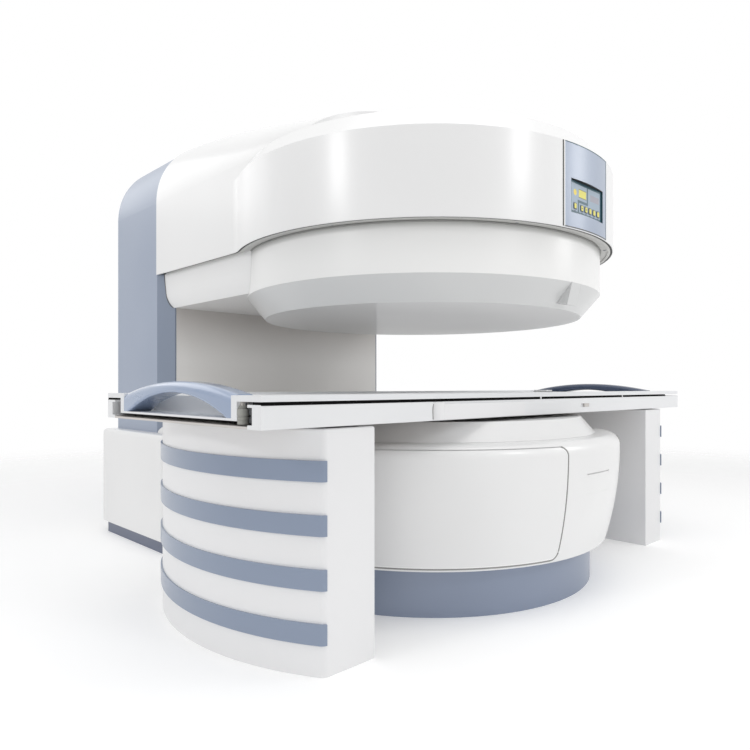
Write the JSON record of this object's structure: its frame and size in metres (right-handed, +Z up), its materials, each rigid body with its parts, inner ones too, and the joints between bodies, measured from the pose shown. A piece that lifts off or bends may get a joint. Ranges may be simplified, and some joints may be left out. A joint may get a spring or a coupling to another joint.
{
  "type": "mri scanner",
  "caption": "Open magnetic resonance scanner: C-shaped magnet under smooth covers, column at the back, patient table on two pedestals with a rolling bed on a sideways sliding frame.",
  "frame": {"origin": "point of the floor on the axis of the two magnet poles", "axes": "+X along the table, to the right seen from the front; +Y towards the column at the back; +Z up"},
  "size_m": [2.49, 2.3394, 1.9427],
  "materials": {
    "white_cover": "gloss moulded cover",
    "blue_cover": "satin moulded cover",
    "blue_base": "satin",
    "yoke_steel": "machined and primed",
    "magnet": "plated blocks in a disc",
    "coil": "windings in resin",
    "rail_white": "satin paint",
    "frame_metal": "brushed",
    "bed_white": "satin moulded",
    "handle_blue": "gloss moulded",
    "roller": "matte",
    "axle_steel": "turned",
    "keypad": "matte film",
    "key": "matte",
    "display": "dull glass"
  },
  "bodies": {
    "magnet_and_stand": {"lower_pole_cover": "white_cover", "lower_front_cover": "white_cover", "left_body_panel": "white_cover", "right_body_panel": "white_cover", "lower_neck_cover": "white_cover", "upper_cover": "white_cover", "upper_cover_carrier": "white_cover", "upper_pole_cover": "white_cover", "upper_pole_face": "white_cover", "positioning_lamp": "white_cover", "arm_underside_cover": "white_cover", "column_front_panel": "white_cover", "base_cover_left": "white_cover", "base_cover_right": "white_cover", "left_pedestal": "white_cover", "right_pedestal": "white_cover", "column_cover_left": "blue_cover", "column_cover_right": "blue_cover", "rear_cover": "blue_cover", "control_panel": "blue_cover", "leg_bands": "blue_cover", "base_plinth": "blue_base", "rear_plinth": "blue_base", "lower_yoke": "yoke_steel", "upper_yoke": "yoke_steel", "column_yoke": "yoke_steel", "lower_pole_piece": "yoke_steel", "upper_pole_piece": "yoke_steel", "lower_magnet": "magnet", "upper_magnet": "magnet", "lower_gradient_coil": "coil", "upper_gradient_coil": "coil", "lateral_guides": "frame_metal", "keypad_bezel": "keypad", "display_window": "display"},
    "bed_frame": {"front_rail": "rail_white", "rear_rail": "rail_white", "frame_plate": "frame_metal", "side_grip": "white_cover"},
    "bed": {"bed_board": "bed_white", "bed_top": "bed_white", "left_handle": "handle_blue", "right_handle": "handle_blue", "coil_socket": "white_cover", "roller_axles": "axle_steel"},
    "rail_latch": {"rail_latch": "rail_white"},
    "front_guide_roller_left": {"front_guide_roller_left": "roller"},
    "front_guide_roller_right": {"front_guide_roller_right": "roller"},
    "front_load_wheel_left": {"front_load_wheel_left": "roller"},
    "front_load_wheel_right": {"front_load_wheel_right": "roller"},
    "rear_guide_roller_left": {"rear_guide_roller_left": "roller"},
    "rear_guide_roller_right": {"rear_guide_roller_right": "roller"},
    "rear_load_wheel_left": {"rear_load_wheel_left": "roller"},
    "rear_load_wheel_right": {"rear_load_wheel_right": "roller"},
    "key_single": {"key_single": "key"},
    "key_1": {"key_1": "key"},
    "key_2": {"key_2": "key"},
    "key_3": {"key_3": "key"},
    "key_4": {"key_4": "key"},
    "key_5": {"key_5": "key"}
  },
  "joints": [
    {"name": "frame_lateral_slide", "type": "slide", "parent": "magnet_and_stand", "child": "bed_frame", "axis": [0, 1, 0], "range_m": [-0.05, 0.11]},
    {"name": "bed_slide", "type": "slide", "parent": "bed_frame", "child": "bed", "axis": [1, 0, 0], "range_m": [-0.4, 0.4]},
    {"name": "latch_slide", "type": "slide", "parent": "bed_frame", "child": "rail_latch", "axis": [1, 0, 0], "range_m": [-0.033, 0]},
    {"name": "key_single_press", "type": "slide", "parent": "magnet_and_stand", "child": "key_single", "axis": [0, 1, 0], "range_m": [0, 0.0015], "stiffness_N_per_m": 600},
    {"name": "key_1_press", "type": "slide", "parent": "magnet_and_stand", "child": "key_1", "axis": [0, 1, 0], "range_m": [0, 0.0015], "stiffness_N_per_m": 600},
    {"name": "key_2_press", "type": "slide", "parent": "magnet_and_stand", "child": "key_2", "axis": [0, 1, 0], "range_m": [0, 0.0015], "stiffness_N_per_m": 600},
    {"name": "key_3_press", "type": "slide", "parent": "magnet_and_stand", "child": "key_3", "axis": [0, 1, 0], "range_m": [0, 0.0015], "stiffness_N_per_m": 600},
    {"name": "key_4_press", "type": "slide", "parent": "magnet_and_stand", "child": "key_4", "axis": [0, 1, 0], "range_m": [0, 0.0015], "stiffness_N_per_m": 600},
    {"name": "key_5_press", "type": "slide", "parent": "magnet_and_stand", "child": "key_5", "axis": [0, 1, 0], "range_m": [0, 0.0015], "stiffness_N_per_m": 600},
    {"name": "front_guide_roller_left_turn", "type": "hinge", "parent": "bed", "child": "front_guide_roller_left", "pos_m": [-1.148, -0.5127, 0.669], "axis": [0, 0, 1], "continuous": true},
    {"name": "front_guide_roller_right_turn", "type": "hinge", "parent": "bed", "child": "front_guide_roller_right", "pos_m": [1.248, -0.5127, 0.669], "axis": [0, 0, 1], "continuous": true},
    {"name": "front_load_wheel_left_turn", "type": "hinge", "parent": "bed", "child": "front_load_wheel_left", "pos_m": [-0.75, -0.53, 0.6688], "axis": [0, 1, 0], "continuous": true},
    {"name": "front_load_wheel_right_turn", "type": "hinge", "parent": "bed", "child": "front_load_wheel_right", "pos_m": [0.85, -0.53, 0.6688], "axis": [0, 1, 0], "continuous": true},
    {"name": "rear_guide_roller_left_turn", "type": "hinge", "parent": "bed", "child": "rear_guide_roller_left", "pos_m": [-1.148, 0.2607, 0.669], "axis": [0, 0, 1], "continuous": true},
    {"name": "rear_guide_roller_right_turn", "type": "hinge", "parent": "bed", "child": "rear_guide_roller_right", "pos_m": [1.248, 0.2607, 0.669], "axis": [0, 0, 1], "continuous": true},
    {"name": "rear_load_wheel_left_turn", "type": "hinge", "parent": "bed", "child": "rear_load_wheel_left", "pos_m": [-0.75, 0.278, 0.6688], "axis": [0, 1, 0], "continuous": true},
    {"name": "rear_load_wheel_right_turn", "type": "hinge", "parent": "bed", "child": "rear_load_wheel_right", "pos_m": [0.85, 0.278, 0.6688], "axis": [0, 1, 0], "continuous": true}
  ],
  "couplings": [
    {"joint": "front_guide_roller_left_turn", "follows": "bed_slide", "rad_per_m": -33.333},
    {"joint": "front_guide_roller_right_turn", "follows": "bed_slide", "rad_per_m": -33.333},
    {"joint": "front_load_wheel_left_turn", "follows": "bed_slide", "rad_per_m": 48.78},
    {"joint": "front_load_wheel_right_turn", "follows": "bed_slide", "rad_per_m": 48.78},
    {"joint": "rear_guide_roller_left_turn", "follows": "bed_slide", "rad_per_m": 33.333},
    {"joint": "rear_guide_roller_right_turn", "follows": "bed_slide", "rad_per_m": 33.333},
    {"joint": "rear_load_wheel_left_turn", "follows": "bed_slide", "rad_per_m": 48.78},
    {"joint": "rear_load_wheel_right_turn", "follows": "bed_slide", "rad_per_m": 48.78}
  ]
}
